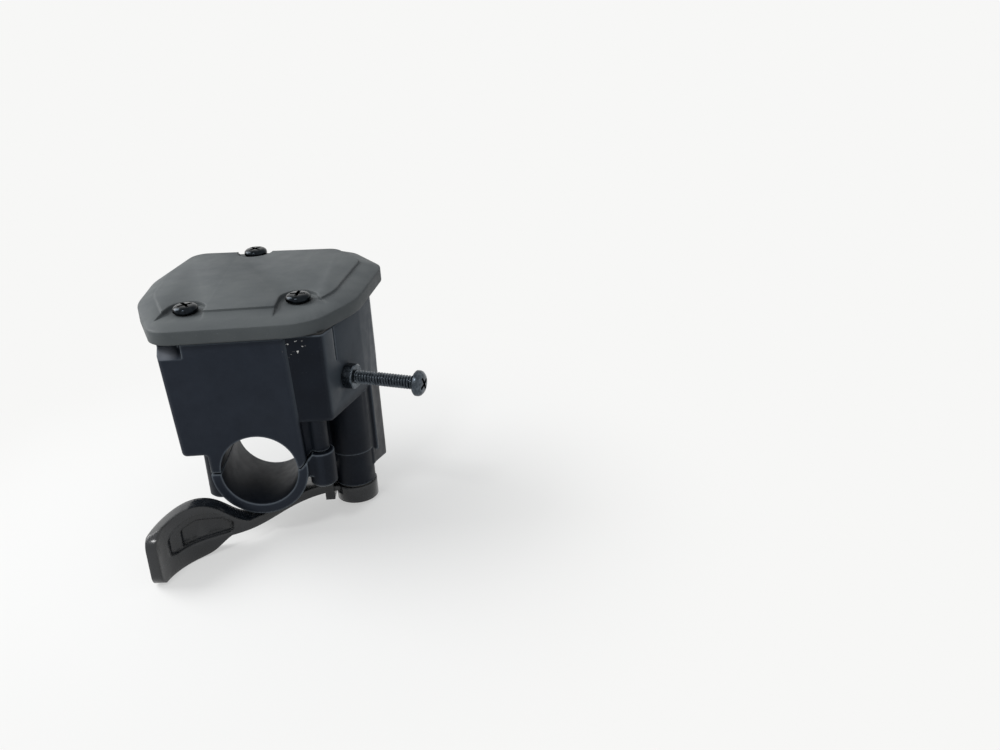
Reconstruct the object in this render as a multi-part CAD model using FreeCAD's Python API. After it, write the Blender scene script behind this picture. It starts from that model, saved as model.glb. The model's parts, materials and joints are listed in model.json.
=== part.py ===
import FreeCAD, Part
import math
import os

V = FreeCAD.Vector

# Frame: origin on the bar's centre line at the middle of the clamp, +Y along the bar towards the
# middle of the vehicle, +X forward, +Z up and square to the cover.

# Handlebar clamp
bar_diameter = 22.2
clamp_width = 26.0
ring_wall = 2.9
parting_gap = 0.6
lug_parting_rise = 3.8
bore_radius = bar_diameter / 2
ring_radius = bore_radius + ring_wall
half_clamp = clamp_width / 2
clamp_front = -half_clamp
lug_parting_start = ring_radius - 2.0
lug_parting_end = ring_radius + 1.4

# Clamp screws
clamp_screw_radius = 1.5
clamp_screw_length = 16.0
clamp_head_radius = 2.75
clamp_head_height = 3.0
clamp_washer_thickness = 0.8
clamp_seat_below_parting = 6.6
left_lug_x = -ring_radius - 1.7
left_lug_y = clamp_front + 16.0
left_lug_radius = 4.0
left_lug_bottom = -ring_radius - 1.0
right_lug_x = ring_radius + 3.6
right_lug_y = clamp_front + 4.5
right_lug_radius = 3.9
right_lug_bottom = -7.2
right_post_radius = 2.7

# Pivot
pivot_x = ring_radius + 10.4
pivot_y = half_clamp - 4.5
shaft_radius = 3.0
shaft_clearance = 0.03
bush_wall = 1.2
bush_length = 9.0
bush_flange_radius = 4.6
bush_flange_thickness = 0.8
pocket_radius = 4.95
arm_under_ring = 0.9
arm_top = -ring_radius - arm_under_ring
boss_radius = 6.0
boss_bottom = arm_top - 0.7
boss_collar_radius = 6.4
boss_collar_height = 10.8
floor_boss_radius = 5.9
floor_boss_height = 1.2
seal_height = 1.6
thrust_washer_thickness = 0.5
pair_gap = 0.05
moving_gap = 0.4

# Housing box
housing_top = 40.4
floor_bottom = 13.8
floor_thickness = 3.0
wall = 3.0
face_step = 1.0
box_front = clamp_front + face_step
box_left = -ring_radius - 6.2
flank_front_x = ring_radius + 8.8
flank_back_x = pivot_x + 6.6
flank_back_y = pivot_y - 0.5
guard_x = pivot_x + 9.0
guard_y = pivot_y + 9.5
guard_thickness = 2.6
guard_length = 8.0
guard_near_bottom = boss_bottom + 4.8
guard_far_bottom = boss_bottom + 1.1
box_right_back_x = pivot_x + 7.1
box_right_back_y = box_front + 48.0
box_back = box_front + 62.5
box_back_right_x = pivot_x - 3.4
box_back_right_y = box_back - 3.0
box_back_left_x = box_left - 3.8
box_side_bulge_x = box_left - 9.8
box_side_bulge_y = box_front + 42.0
box_side_front_x = box_left - 6.8
box_side_front_y = box_front + 22.0
box_bottom_round = 1.2

# Clamp block under the box
block_bottom = 5.8
block_edge_round = 1.2
block_left_low = box_left - 1.1
block_left_top = box_left - 3.4
block_right_top = ring_radius - 1.6
block_right_low = ring_radius - 0.6
corner_notch_width = 7.4
corner_notch_height = 4.2
corner_notch_depth = 3.0

# Cover
gasket_thickness = 0.6
rim_height = 3.8
bevel_rise = 1.7
panel_step = 0.5
cover_front_overhang = 2.3
cover_side_overhang = 3.4
cover_back_overhang = 4.0
panel_front_inset = 9.8
panel_side_inset = 5.0
recess_radius = 5.6
recess_depth = 1.3
lip_height = 1.6
lip_thickness = 1.5
lip_clearance = 0.4
cover_pocket_depth = 1.6

# Cover screws
cover_screw_radius = 2.0
cover_screw_length = 10.0
cover_head_radius = 3.6
cover_head_height = 2.1
post_radius = 3.8
slim_post_radius = 3.4
slim_post_bottom = 31.0
thread_clearance = 0.03
hole_clearance = 0.2
cover_screw_places = [(box_left + 4.1, box_front + 10.6), (pivot_x - 9.3, box_front + 14.4),
                      (pivot_x - 29.4, box_back - 1.5)]
recess_flares = [(20.0, 0.0), (0.0, 40.0), (0.0, 0.0)]

# Thumb lever: its middle line in plan, from the pivot to the tip
neck_y = clamp_front - 0.8
lever_path = [
    (pivot_x, pivot_y),
    (pivot_x - 10.4, pivot_y - 2.0),
    (pivot_x - 20.4, pivot_y + (neck_y - pivot_y) * 0.47),
    (pivot_x - 30.4, neck_y),
    (pivot_x - 38.4, clamp_front - 4.6),
    (pivot_x - 45.4, clamp_front - 8.8),
    (pivot_x - 50.2, clamp_front - 15.3),
    (pivot_x - 52.4, clamp_front - 23.2),
]
arm_width = 8.4
arm_thickness = 2.8
pad_thickness = 4.6
pad_above_arm = 9.6
pad_below_arm = 4.3
pad_rise_start = pivot_x - 28.9
pad_crest = pivot_x - 42.6
pad_drop_start = pivot_x - 34.0
pad_tip_x = pivot_x - 55.4
pad_corner = 4.5
dish_depth = 2.0
dish_neck_x = pivot_x - 33.0
dish_tip_x = pivot_x - 48.7
dish_low_lip = 5.2
dish_high_lip = 2.6
dish_slope = 2.2
arm_bottom = arm_top - arm_thickness
pad_top = arm_top + pad_above_arm
pad_bottom = arm_bottom - pad_below_arm
hub_radius = 6.35
hub_height = 5.2
lever_travel = 38.0
stop_width = 2.8
stop_depth = 5.2

# Shaft ends
drive_radius = 2.5
drive_flat = 3.8
stub_radius = 2.0
stub_nut_flats = 7.0
lever_washer_thickness = 0.8
lever_nut_height = 2.2
lever_nut_pocket = 3.6

# Cable arm
arm_plate_bottom = 26.2
arm_plate_thickness = 2.5
cable_reach = 20.0
eye_radius = 4.0
cable_eye_radius = 1.9
cable_arm_angle = 150.0
cable_arm_hub_radius = 4.6

# Return spring
spring_wire = 0.9
spring_mean_radius = 3.75
spring_turns = 4.0
spring_leg = 8.5
collar_radius = 2.9
collar_height = 6.8
arm_washer_thickness = 0.8
arm_nut_height = 3.2
shaft_thread_left = 0.9

# Limiter screw
limiter_along = 10.7
limiter_z = 23.6
limiter_radius = 2.0
limiter_length = 30.0
limiter_exposed = 18.8
limiter_head_radius = 3.7
limiter_head_height = 2.6
limiter_nut_flats = 7.0
limiter_nut_height = 3.2
limiter_wall = 4.5
limiter_boss_radius = 5.0
limiter_travel = 5.0
limiter_tab_gap = 0.5
limiter_tab_thickness = 3.0
limiter_tab_width = 5.0

# Cable inlet
inlet_x = pivot_x - 18.6
inlet_radius = 2.5
inlet_boss_radius = 5.5
inlet_boss_out = 5.0

# Worked out from the sizes above
floor_top = floor_bottom + floor_thickness
cover_bottom = housing_top + gasket_thickness
rim_top = cover_bottom + rim_height
panel_base = rim_top + bevel_rise
panel_top = panel_base + panel_step
recess_floor = panel_top - recess_depth
bore_in_boss = shaft_radius + bush_wall
hub_top = boss_bottom - thrust_washer_thickness
hub_bottom = hub_top - hub_height
shaft_shoulder = arm_plate_bottom
pivot = V(pivot_x, pivot_y, 0)
beyond = 10 * ring_radius


def outline(corners, z=0.0):
    """Closed wire at height z through (x, y, radius) corners, each rounded by a tangent arc."""
    arcs = []
    count = len(corners)
    for i in range(count):
        here = V(corners[i][0], corners[i][1], z)
        back = (V(corners[i - 1][0], corners[i - 1][1], z) - here).normalize()
        ahead_corner = corners[(i + 1) % count]
        ahead = (V(ahead_corner[0], ahead_corner[1], z) - here).normalize()
        half = back.getAngle(ahead) / 2
        radius = corners[i][2]
        inward = (back + ahead).normalize()
        reach = radius / math.tan(half)
        crown = here + inward * (radius / math.sin(half) - radius)
        arcs.append((here + back * reach, crown, here + ahead * reach))
    edges = []
    for i in range(count):
        start, crown, end = arcs[i]
        edges.append(Part.Arc(start, crown, end).toShape())
        edges.append(Part.makeLine(end, arcs[(i + 1) % count][0]))
    return Part.Wire(edges)


def inset(corners, distances):
    """Corners moved inwards; distances holds one value for each side, the first leaving corner 0."""
    count = len(corners)
    if not isinstance(distances, (list, tuple)):
        distances = [distances] * count
    lines = []
    for i in range(count):
        a = V(corners[i][0], corners[i][1], 0)
        b = V(corners[(i + 1) % count][0], corners[(i + 1) % count][1], 0)
        along = (b - a).normalize()
        lines.append((a + V(-along.y, along.x, 0) * distances[i], along))
    moved = []
    for i in range(count):
        (p, d), (q, e) = lines[i - 1], lines[i]
        cross = d.x * e.y - d.y * e.x
        t = ((q.x - p.x) * e.y - (q.y - p.y) * e.x) / cross
        radius = max(corners[i][2] - (distances[i - 1] + distances[i]) / 2, 0.4)
        moved.append((p.x + d.x * t, p.y + d.y * t, radius))
    return moved


def prism(corners, z_low, z_high):
    """Solid between two heights over a rounded outline."""
    return Part.Face(outline(corners, z_low)).extrude(V(0, 0, z_high - z_low))


def prism_along_y(corners, y_low, y_high):
    """Solid between two depths over a rounded outline given as (x, z, radius)."""
    solid = prism(corners, -y_high, -y_low)
    solid.rotate(V(0, 0, 0), V(1, 0, 0), 90)
    return solid


def post(x, y, radius, z_low, z_high):
    return Part.makeCylinder(radius, z_high - z_low, V(x, y, z_low))


def block(x_low, x_high, y_low, y_high, z_low, z_high):
    return Part.makeBox(x_high - x_low, y_high - y_low, z_high - z_low, V(x_low, y_low, z_low))


def fuse(shapes):
    return shapes[0].fuse(shapes[1:]).removeSplitter()


def single(shape):
    """The one solid that a boolean result holds."""
    return shape.Solids[0] if len(shape.Solids) == 1 else shape


def hexagon(flats, height):
    """Hexagonal prism on the XY plane, centred on the Z axis."""
    corner = flats / math.sqrt(3)
    points = [V(corner * math.cos(math.radians(60 * i)), corner * math.sin(math.radians(60 * i)), 0)
              for i in range(6)]
    return Part.Face(Part.makePolygon(points + points[:1])).extrude(V(0, 0, height))


def nut(flats, height, bore):
    """Hexagonal nut with its corners rounded off at both faces."""
    round_off = flats * 0.53
    cone_height = flats * 0.6
    barrel = Part.makeCylinder(round_off, height)
    edges = [e for e in barrel.Edges if e.Length > 2 * flats and e.Curve.TypeId == "Part::GeomCircle"]
    barrel = barrel.makeChamfer(min(height, cone_height) * 0.12, edges)
    return single(hexagon(flats, height).common(barrel).cut(Part.makeCylinder(bore, height)))


def washer(inner, outer, thickness):
    return Part.makeCylinder(outer, thickness).cut(Part.makeCylinder(inner, thickness))


def cross_recess(width, depth):
    """Two crossed slots, to be cut down from the XY plane."""
    arm = width * 0.26
    slots = [Part.makeBox(width, arm, depth, V(-width / 2, -arm / 2, -depth)),
             Part.makeBox(arm, width, depth, V(-arm / 2, -width / 2, -depth))]
    return slots[0].fuse(slots[1])


def pan_screw(radius, length, head_radius, head_height):
    """Pan head screw, seat at the origin, head upwards, with a cross recess."""
    edge = head_height * 0.45
    crown = Part.Arc(V(head_radius, 0, edge), V(head_radius * 0.78, 0, head_height * 0.86),
                     V(0, 0, head_height)).toShape()
    tip = radius * 0.2
    corners = [V(0, 0, -length), V(radius - tip, 0, -length), V(radius, 0, -length + tip),
               V(radius, 0, 0), V(head_radius, 0, 0), V(head_radius, 0, edge)]
    lower = [Part.makeLine(a, b) for a, b in zip(corners[:-1], corners[1:])]
    axis = Part.makeLine(V(0, 0, head_height), corners[0])
    body = Part.Face(Part.Wire(lower + [crown, axis])).revolve(V(0, 0, 0), V(0, 0, 1), 360)
    recess = cross_recess(head_radius * 1.15, head_height * 0.62)
    recess.translate(V(0, 0, head_height))
    return single(body.cut(recess))


def placed(shape, x, y, z):
    copy = shape.copy()
    copy.translate(V(x, y, z))
    return copy


# Outlines

housing_corners = [
    (box_left, box_front, 1.5),
    (flank_front_x, box_front, 1.5),
    (flank_back_x, flank_back_y, 6.0),
    (guard_x, guard_y, 5.0),
    (box_right_back_x, box_right_back_y, 6.0),
    (box_back_right_x, box_back_right_y, 8.0),
    (box_back_left_x, box_back, 6.0),
    (box_side_bulge_x, box_side_bulge_y, 20.0),
    (box_side_front_x, box_side_front_y, 20.0),
]
cover_corners = [
    (box_left - cover_side_overhang, box_front - cover_front_overhang, 8.0),
    (flank_front_x - 2.1, box_front - cover_front_overhang, 14.0),
    (flank_back_x + 0.5, flank_back_y - 5.0, 25.0),
    (guard_x + cover_side_overhang, box_right_back_y - 4.0, 9.0),
    (box_back_right_x + 4.5, box_back_right_y + cover_back_overhang - 1.3, 10.0),
    (box_back_left_x - cover_side_overhang, box_back + cover_back_overhang, 9.0),
    (box_side_bulge_x - cover_side_overhang, box_side_bulge_y, 25.0),
    (box_side_bulge_x - cover_side_overhang, box_side_front_y, 25.0),
]
panel_corners = inset(cover_corners, [panel_front_inset, panel_side_inset + 1.5, panel_side_inset + 1.5,
                                      panel_side_inset, panel_side_inset - 1.6, panel_side_inset - 1.6,
                                      panel_side_inset - 0.8, panel_side_inset])
cavity_corners = inset(housing_corners, wall)

flank_front = V(flank_front_x, box_front, 0)
flank_along = (V(flank_back_x, flank_back_y, 0) - flank_front).normalize()
flank_normal = V(flank_along.y, -flank_along.x, 0)
limiter_seat = flank_front + flank_along * limiter_along + V(0, 0, limiter_z)


def on_limiter_axis(shape, out):
    """Turns a shape standing on the XY plane so that +Z points out of the flank, out mm from it."""
    turned = shape.copy()
    turned.Placement = FreeCAD.Placement(limiter_seat + flank_normal * out,
                                         FreeCAD.Rotation(V(0, 0, 1), flank_normal))
    return turned


# Housing

def below_parting(gap):
    """Everything below the clamp's parting line, which rises at the forward lug."""
    far = beyond
    rise = lug_parting_rise + gap
    points = [V(-far, -far, gap), V(lug_parting_start, -far, gap), V(lug_parting_end, -far, rise),
              V(far, -far, rise), V(far, -far, -far), V(-far, -far, -far)]
    return Part.Face(Part.makePolygon(points + points[:1])).extrude(V(0, 2 * far, 0))


def bar_bore():
    return Part.makeCylinder(bore_radius, 4 * half_clamp, V(0, -2 * half_clamp, 0), V(0, 1, 0))


def clamp_block():
    """Upper half of the clamp, standing under the box, with the forward and rear screw lugs."""
    above = housing_top + 3 * block_edge_round
    corners = [
        (-ring_radius, -5.0, 0.5),
        (ring_radius, -5.0, 0.5),
        (block_right_low, floor_bottom - 1.0, 2.0),
        (block_right_top, above, 0.4),
        (block_left_top, above, 0.4),
        (block_left_low, block_bottom, 1.5),
        (-ring_radius - 0.3, block_bottom, 0.8),
    ]
    body = prism_along_y(corners, -half_clamp, half_clamp)
    left_edges = [e for e in body.Edges if e.BoundBox.YMax < 0 and e.BoundBox.XMax < -ring_radius
                  and e.BoundBox.ZMax < above - 0.5]
    body = body.makeFillet(block_edge_round, left_edges)
    body = body.cut(block(-beyond, beyond, -beyond, beyond, housing_top, beyond))
    lugs = [
        post(right_lug_x, right_lug_y, right_post_radius, 0, floor_top),
        block(block_right_low - 2, right_lug_x, right_lug_y - 1.6, right_lug_y + 1.6, 0, floor_top),
        post(left_lug_x, left_lug_y, left_lug_radius, 0, block_bottom + 2),
    ]
    return fuse([body] + lugs).cut(below_parting(parting_gap / 2))


def corner_notch():
    """Sloping relief in the top left corner of the clamp face."""
    x_low = block_left_top - 1
    x_high = block_left_top + corner_notch_width
    z_low = housing_top - corner_notch_height
    front = -half_clamp
    points = [V(x_low, front - 0.01, z_low), V(x_low, front - 0.01, housing_top + 1),
              V(x_low, front + corner_notch_depth, housing_top + 1),
              V(x_low, front + corner_notch_depth, z_low + corner_notch_depth)]
    return Part.Face(Part.makePolygon(points + points[:1])).extrude(V(x_high - x_low, 0, 0))


def pivot_boss():
    """Boss for the shaft, hanging from the box, with the web to the clamp and the rest stop."""
    web_half = 3.4
    web_bottom = -bore_radius * 0.72
    stop_face = pivot_y + 1.5 * moving_gap
    return [
        post(pivot_x, pivot_y, boss_radius, boss_bottom, floor_top),
        post(pivot_x, pivot_y, boss_collar_radius, boss_bottom + boss_collar_height, floor_bottom + 1),
        post(pivot_x, pivot_y, floor_boss_radius, floor_bottom, floor_top + floor_boss_height),
        block(ring_radius + parting_gap, pivot_x, pivot_y - web_half, pivot_y + web_half,
              web_bottom, floor_top),
        block(ring_radius - 4, pivot_x, pivot_y - web_half, pivot_y + web_half,
              lug_parting_rise + parting_gap, floor_top),
        block(stop_left() + 0.4, pivot_x - 1, stop_face, pivot_y + web_half,
              arm_top + moving_gap, floor_top),
    ]


def guard():
    """Curved plate beside the boss, in line with the box's flank."""
    thickness = guard_thickness
    corner = 4.0
    start = V(flank_back_x, flank_back_y, 0) - flank_along * 1.0
    knee = V(guard_x, guard_y, 0)
    end = V(box_right_back_x, box_right_back_y, 0)
    end = knee + (end - knee).normalize() * guard_length
    corners = [(start.x, start.y, 0.8), (knee.x, knee.y, 5.0), (end.x, end.y, 0.8),
               (end.x - thickness, end.y, 0.8), (knee.x - thickness, knee.y, 3.0),
               (start.x - thickness, start.y + 0.6, 0.8)]
    plate = prism(corners, guard_far_bottom, floor_top)
    side = [(start.y - 5, guard_near_bottom, 0.5), (start.y + 2, guard_near_bottom, 4.0),
            (end.y, guard_far_bottom, corner), (end.y, floor_top + 3, 0.5),
            (start.y - 5, floor_top + 3, 0.5)]
    mask = prism_along_y(side, -beyond, beyond)
    mask.rotate(V(0, 0, 0), V(0, 0, 1), 90)
    web = block(pivot_x, guard_x - thickness / 2, pivot_y + 1, pivot_y + 4,
                guard_near_bottom + corner, floor_top)
    return [plate.common(mask), web]


def housing():
    box = prism(housing_corners, floor_bottom, housing_top)
    rim = [e for e in box.Edges if abs(e.BoundBox.ZMax - floor_bottom) < 0.01]
    box = box.makeFillet(box_bottom_round, rim)
    back_x, back_y = cover_screw_places[2]
    outside = [box, clamp_block(), post(back_x, back_y, post_radius, floor_bottom, housing_top)]
    outside += pivot_boss() + guard()
    outside.append(Part.makeCylinder(inlet_boss_radius, wall + inlet_boss_out,
                                     V(inlet_x, box_back - wall, inlet_z()), V(0, 1, 0)))
    body = fuse(outside).cut(corner_notch())
    body = body.cut(prism(cavity_corners, floor_top, housing_top + 1))
    (left_x, left_y), (slim_x, slim_y), _ = cover_screw_places
    inside = [
        post(left_x, left_y, post_radius, floor_top - 1, housing_top),
        post(back_x, back_y, post_radius, floor_top - 1, housing_top),
        post(slim_x, slim_y, slim_post_radius, slim_post_bottom, housing_top),
        block(slim_x - 1.5, slim_x + 1.5, box_front + wall / 2, slim_y, slim_post_bottom, housing_top),
        block(left_x - 1.5, left_x + 1.5, box_front + wall / 2, left_y, floor_top - 1, housing_top),
        post(pivot_x, pivot_y, floor_boss_radius, floor_top - 1, floor_top + floor_boss_height),
        on_limiter_axis(Part.makeCylinder(limiter_boss_radius, limiter_wall), -limiter_wall),
    ]
    body = fuse([body] + inside)
    limiter_hole = Part.makeCylinder(limiter_radius + thread_clearance, 3 * limiter_wall)
    holes = [bar_bore(), shaft_bore(), groove(), on_limiter_axis(limiter_hole, -2 * limiter_wall),
             post(pivot_x, pivot_y, pocket_radius, floor_top + floor_boss_height, housing_top)]
    for x, y in cover_screw_places:
        depth = cover_screw_length - (recess_floor - housing_top) + 1.5
        holes.append(post(x, y, cover_screw_radius + thread_clearance, housing_top - depth, housing_top))
    for lug in clamp_lugs():
        top = lug["seat"] + clamp_screw_length + 1.0
        holes.append(post(lug["x"], lug["y"], clamp_screw_radius + thread_clearance, -2, top))
    holes.append(Part.makeCylinder(inlet_radius, 40, V(inlet_x, box_back - wall - 3, inlet_z()), V(0, 1, 0)))
    return single(body.cut(holes[0].fuse(holes[1:])))


def inlet_z():
    return arm_plate_bottom + arm_plate_thickness / 2


def groove():
    """Short upright groove in the flank, near its front corner."""
    width = 0.8
    depth = 0.5
    length = 10.0
    cut = Part.makeBox(length, width, 2 * depth, V(-length / 2, -width / 2, -depth))
    place = flank_front + flank_along * 6.2 + V(0, 0, housing_top - length / 2)
    turn = FreeCAD.Rotation(V(0, 0, 1), flank_along, flank_normal, "ZYX")
    cut.Placement = FreeCAD.Placement(place, turn)
    return cut


def shaft_bore():
    """Bore for bushes and seal, with a narrower middle that only the shaft passes."""
    top = floor_top + floor_boss_height
    parts = [
        post(pivot_x, pivot_y, shaft_radius + 0.3, boss_bottom, top),
        post(pivot_x, pivot_y, bore_in_boss, boss_bottom, boss_bottom + seal_height + bush_length),
        post(pivot_x, pivot_y, bore_in_boss, top - bush_length, top),
    ]
    return fuse(parts)


def clamp_lugs():
    """Place, parting height and screw seat of both clamp lugs."""
    return [
        {"x": left_lug_x, "y": left_lug_y, "radius": left_lug_radius, "parting": 0.0,
         "bottom": left_lug_bottom, "seat": -clamp_seat_below_parting},
        {"x": right_lug_x, "y": right_lug_y, "radius": right_lug_radius, "parting": lug_parting_rise,
         "bottom": right_lug_bottom, "seat": lug_parting_rise - clamp_seat_below_parting},
    ]


# Clamp cap

def clamp_cap():
    ring = Part.makeCylinder(ring_radius, clamp_width, V(0, -half_clamp, 0), V(0, 1, 0))
    parts = [ring]
    for lug in clamp_lugs():
        boss = post(lug["x"], lug["y"], lug["radius"], lug["bottom"], lug["parting"] + parting_gap)
        low = [e for e in boss.Edges if abs(e.BoundBox.ZMax - lug["bottom"]) < 0.01]
        parts.append(boss.makeChamfer(0.8, low))
        inner = math.copysign(ring_radius - 3, lug["x"])
        x_low, x_high = sorted((inner, lug["x"]))
        parts.append(block(x_low, x_high, lug["y"] - lug["radius"] + 0.6, lug["y"] + lug["radius"] - 0.6,
                           lug["bottom"] / 2, lug["parting"] + parting_gap))
    body = fuse(parts).common(below_parting(-parting_gap / 2)).cut(bar_bore())
    for lug in clamp_lugs():
        body = body.cut(post(lug["x"], lug["y"], clamp_screw_radius + hole_clearance, -beyond, beyond))
        body = body.cut(post(lug["x"], lug["y"], clamp_head_radius + hole_clearance, -beyond, lug["seat"]))
    return single(body)


def clamp_screws():
    """Two cap screws, heads down in the lugs."""
    screws = []
    for lug in clamp_lugs():
        z = lug["seat"] - clamp_washer_thickness
        shank = post(lug["x"], lug["y"], clamp_screw_radius, z, z + clamp_screw_length)
        head = post(lug["x"], lug["y"], clamp_head_radius, z - clamp_head_height, z)
        low = [e for e in head.Edges if abs(e.BoundBox.ZMax - (z - clamp_head_height)) < 0.01]
        head = head.makeChamfer(0.4, low)
        socket = placed(hexagon(2.5, 1.6), lug["x"], lug["y"], z - clamp_head_height)
        screws.append(single(fuse([shank, head]).cut(socket)))
    return Part.makeCompound(screws)


def clamp_washers():
    """Split lock washers under the clamp screws' heads."""
    gap = 0.8
    rings = []
    for lug in clamp_lugs():
        ring = washer(clamp_screw_radius + 0.1, clamp_head_radius - 0.1, clamp_washer_thickness)
        slot = Part.makeBox(clamp_head_radius, gap, clamp_washer_thickness, V(0, -gap / 2, 0))
        low = lug["seat"] - clamp_washer_thickness
        rings.append(placed(single(ring.cut(slot)), lug["x"], lug["y"], low))
    return Part.makeCompound(rings)


# Cover

def screw_recess(x, y, towards, flares):
    """Round recess about a cover screw, open towards the edge (towards is -1 or 1 along Y)."""
    reach = 2 * recess_radius + panel_front_inset
    left, right = [recess_radius + reach * math.tan(math.radians(angle)) for angle in flares]
    edge_y = y + towards * reach
    points = [V(x - recess_radius, y, recess_floor), V(x + recess_radius, y, recess_floor),
              V(x + right, edge_y, recess_floor), V(x - left, edge_y, recess_floor)]
    slot = Part.Face(Part.makePolygon(points + points[:1])).extrude(V(0, 0, panel_top + 1 - recess_floor))
    return post(x, y, recess_radius, recess_floor, panel_top + 1).fuse(slot)


def cover_plate():
    rim = prism(cover_corners, cover_bottom, rim_top)
    bevel = Part.makeLoft([outline(cover_corners, rim_top), outline(panel_corners, panel_base)], True, True)
    panel = prism(inset(panel_corners, 0.3), panel_base, panel_top)
    body = fuse([rim, bevel, panel])
    lip_outside = inset(cavity_corners, lip_clearance)
    lip = prism(lip_outside, cover_bottom - lip_height, cover_bottom)
    lip = lip.cut(prism(inset(lip_outside, lip_thickness), cover_bottom - lip_height, cover_bottom))
    front_clear = pivot_y + stub_nut_flats / math.sqrt(3) + 2 * moving_gap
    lip = lip.cut(block(-beyond, beyond, -beyond, front_clear, 0, panel_top))
    back_x, back_y = cover_screw_places[2]
    lip = lip.cut(post(back_x, back_y, post_radius + lip_clearance, 0, panel_top))
    body = fuse([body, lip])
    for (x, y), towards, flares in zip(cover_screw_places, (-1, -1, 1), recess_flares):
        body = body.cut(screw_recess(x, y, towards, flares))
        body = body.cut(post(x, y, cover_screw_radius + hole_clearance, 0, panel_top))
    pocket = prism(inset(cavity_corners, lip_clearance + lip_thickness), cover_bottom - 0.1,
                   cover_bottom + cover_pocket_depth)
    for x, y in cover_screw_places:
        pocket = pocket.cut(post(x, y, cover_head_radius + 1.6, 0, panel_top))
    return single(body.cut(pocket))


def cover_gasket():
    """Flat seal on the housing's rim, with ears round the screws."""
    inside = prism(cavity_corners, housing_top, cover_bottom)
    for x, y in cover_screw_places:
        inside = inside.cut(post(x, y, slim_post_radius, 0, panel_top))
    sheet = prism(inset(housing_corners, 0.4), housing_top, cover_bottom).cut(inside)
    back_x, back_y = cover_screw_places[2]
    sheet = fuse([sheet, post(back_x, back_y, post_radius - 0.3, housing_top, cover_bottom)])
    for x, y in cover_screw_places:
        sheet = sheet.cut(post(x, y, cover_screw_radius + hole_clearance, 0, panel_top))
    return max(sheet.Solids, key=lambda s: s.Volume)


def cover_screws():
    screw = pan_screw(cover_screw_radius, cover_screw_length, cover_head_radius, cover_head_height)
    return Part.makeCompound([placed(screw, x, y, recess_floor) for x, y in cover_screw_places])


# Pivot

def flanged_bush(length, flange_up):
    """Bush standing on the XY plane, its flange at the top or without one."""
    tube = washer(shaft_radius + shaft_clearance, bore_in_boss, length)
    if not flange_up:
        return tube
    flange = washer(shaft_radius + shaft_clearance, bush_flange_radius, bush_flange_thickness)
    return fuse([tube, placed(flange, 0, 0, length)])


def upper_bush():
    top = floor_top + floor_boss_height
    return placed(flanged_bush(bush_length, True), pivot_x, pivot_y, top - bush_length)


def lower_bush():
    return placed(flanged_bush(bush_length, False), pivot_x, pivot_y, boss_bottom + seal_height)


def shaft_seal():
    """Lip seal ring in the boss's mouth."""
    inner = shaft_radius + shaft_clearance
    ring = washer(inner, bore_in_boss, seal_height - pair_gap)
    return placed(ring, pivot_x, pivot_y, boss_bottom + pair_gap)


def thrust_washer():
    ring = washer(shaft_radius + 0.1, boss_radius - 0.2, thrust_washer_thickness - pair_gap)
    return placed(ring, pivot_x, pivot_y, hub_top + pair_gap)


def flats(radius, across, z_low, z_high):
    """Round bar with two flats, on the pivot's axis; the flats face along the lever's width."""
    bar = post(0, 0, radius, z_low, z_high)
    return bar.common(block(-radius, radius, -across / 2, across / 2, z_low, z_high))


def drive_bar(z_low, z_high, clearance=0.0):
    bar = flats(drive_radius + clearance, drive_flat + 2 * clearance, z_low, z_high)
    return placed(bar, pivot_x, pivot_y, 0)


def lever_nut_seat():
    return hub_bottom + lever_nut_pocket


def pivot_shaft():
    """Plain journal with a flatted, threaded stub at each end."""
    low = hub_bottom + 0.4
    high = arm_nut_base() + arm_nut_height + shaft_thread_left
    parts = [post(pivot_x, pivot_y, shaft_radius, hub_top, shaft_shoulder),
             drive_bar(lever_nut_seat() + pair_gap, hub_top),
             drive_bar(shaft_shoulder, shaft_shoulder + arm_plate_thickness),
             post(pivot_x, pivot_y, stub_radius, low, hub_top),
             post(pivot_x, pivot_y, stub_radius, shaft_shoulder, high)]
    return single(fuse(parts))


def arm_nut_base():
    return arm_plate_bottom + arm_plate_thickness + collar_height + arm_washer_thickness


def lever_washer():
    ring = washer(stub_radius + 0.1, stub_nut_flats / 2 + 0.5, lever_washer_thickness)
    return placed(ring, pivot_x, pivot_y, lever_nut_seat() - lever_washer_thickness)


def lever_nut():
    body = nut(stub_nut_flats, lever_nut_height, stub_radius + thread_clearance)
    return placed(body, pivot_x, pivot_y, lever_nut_seat() - lever_washer_thickness - lever_nut_height)


# Thumb lever

def side_points(offsets):
    """Points beside the lever's plan curve, one for each path point, by the given offsets."""
    centre = [V(x, y, 0) for x, y in lever_path]
    curve = Part.BSplineCurve()
    curve.interpolate(centre)
    points = []
    for point, offset in zip(centre, offsets):
        along = curve.tangent(curve.parameter(point))[0]
        points.append(point + V(-along.y, along.x, 0) * offset)
    return points


def ribbon(near, far, z_low, z_high):
    """Upright strip along the lever's plan curve, between two offsets from it."""
    sides = []
    for points in (side_points(near), side_points(far)):
        curve = Part.BSplineCurve()
        curve.interpolate(points)
        sides.append((curve.toShape(), points))
    (near_edge, near_points), (far_edge, far_points) = sides
    ends = [Part.makeLine(near_points[0], far_points[0]), Part.makeLine(near_points[-1], far_points[-1])]
    face = Part.Face(Part.Wire([near_edge, ends[1], far_edge, ends[0]]))
    face.translate(V(0, 0, z_low))
    return face.extrude(V(0, 0, z_high - z_low))


def spline_edge(points):
    curve = Part.BSplineCurve()
    curve.interpolate(points)
    return curve.toShape()


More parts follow.
